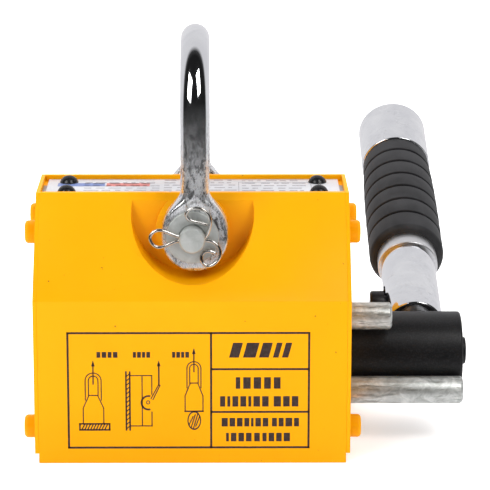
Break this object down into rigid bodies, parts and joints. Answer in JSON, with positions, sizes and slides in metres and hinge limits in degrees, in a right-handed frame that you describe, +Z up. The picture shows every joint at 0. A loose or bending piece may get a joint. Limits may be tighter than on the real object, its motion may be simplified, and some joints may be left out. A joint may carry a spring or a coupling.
{
  "type": "permanent magnetic lifter",
  "caption": "Block-shaped permanent magnetic lifter with sloped upper sides, a swinging top shackle and a side handle that turns the magnet rotor over, with a sliding safety key.",
  "frame": {"origin": "middle of the magnetic underside, at the mouth of the vee groove for round bars", "axes": "+X along the rotor towards the handle hub, +Y towards the back where the handle leans at rest, +Z up towards the shackle"},
  "size_m": [0.1218, 0.1558, 0.1144],
  "materials": {
    "yellow_paint": "satin",
    "bare_steel": "ground",
    "chrome": "polished",
    "zinc": "zinc plated",
    "black_oxide": "satin",
    "magnet": "sintered",
    "brass": "machined",
    "plate": "printed",
    "rubber": "matte"
  },
  "bodies": {
    "housing": {"pole_block_front": "yellow_paint", "pole_block_back": "yellow_paint", "stator_magnet": "magnet", "spacer_top": "bare_steel", "spacer_bottom": "brass", "end_cover_left": "yellow_paint", "end_cover_right": "yellow_paint", "end_plate_left": "bare_steel", "end_plate_right": "bare_steel", "bush_left": "brass", "bush_right": "brass", "cap_screws_left": "yellow_paint", "cap_screws_right": "yellow_paint", "nameplate": "plate", "nameplate_rivets": "black_oxide", "shackle_pin": "zinc", "washer_front": "zinc", "washer_back": "zinc", "split_pin_front": "zinc", "split_pin_back": "zinc", "stop_pin_front": "zinc", "stop_pin_rear": "zinc", "limit_pin_short": "zinc"},
    "shackle": {"shackle": "chrome"},
    "rotor": {"rotor_pole_front": "bare_steel", "rotor_pole_back": "bare_steel", "rotor_magnet": "magnet", "rotor_disc_left": "brass", "rotor_disc_right": "brass", "rotor_pivot": "bare_steel", "rotor_shaft": "bare_steel", "hub": "black_oxide", "hub_screw": "black_oxide", "handle_stem": "bare_steel", "handle_tube": "chrome", "handle_collar": "chrome", "handle_grip": "rubber", "handle_tip_cap": "chrome", "key_spring": "bare_steel"},
    "key": {"safety_key": "black_oxide"}
  },
  "joints": [
    {"name": "handle_turn", "type": "hinge", "parent": "housing", "child": "rotor", "pos_m": [0, 0, 0.02225], "axis": [1, 0, 0], "range_deg": [0, 144.2]},
    {"name": "shackle_swing", "type": "hinge", "parent": "housing", "child": "shackle", "pos_m": [0, 0, 0.0608], "axis": [0, 1, 0], "range_deg": [-65, 65]},
    {"name": "key_slide", "type": "slide", "parent": "rotor", "child": "key", "axis": [0, 0.9521, 0.3057], "range_m": [0, 0.0045], "stiffness_N_per_m": 300, "springref_m": -0.006}
  ]
}
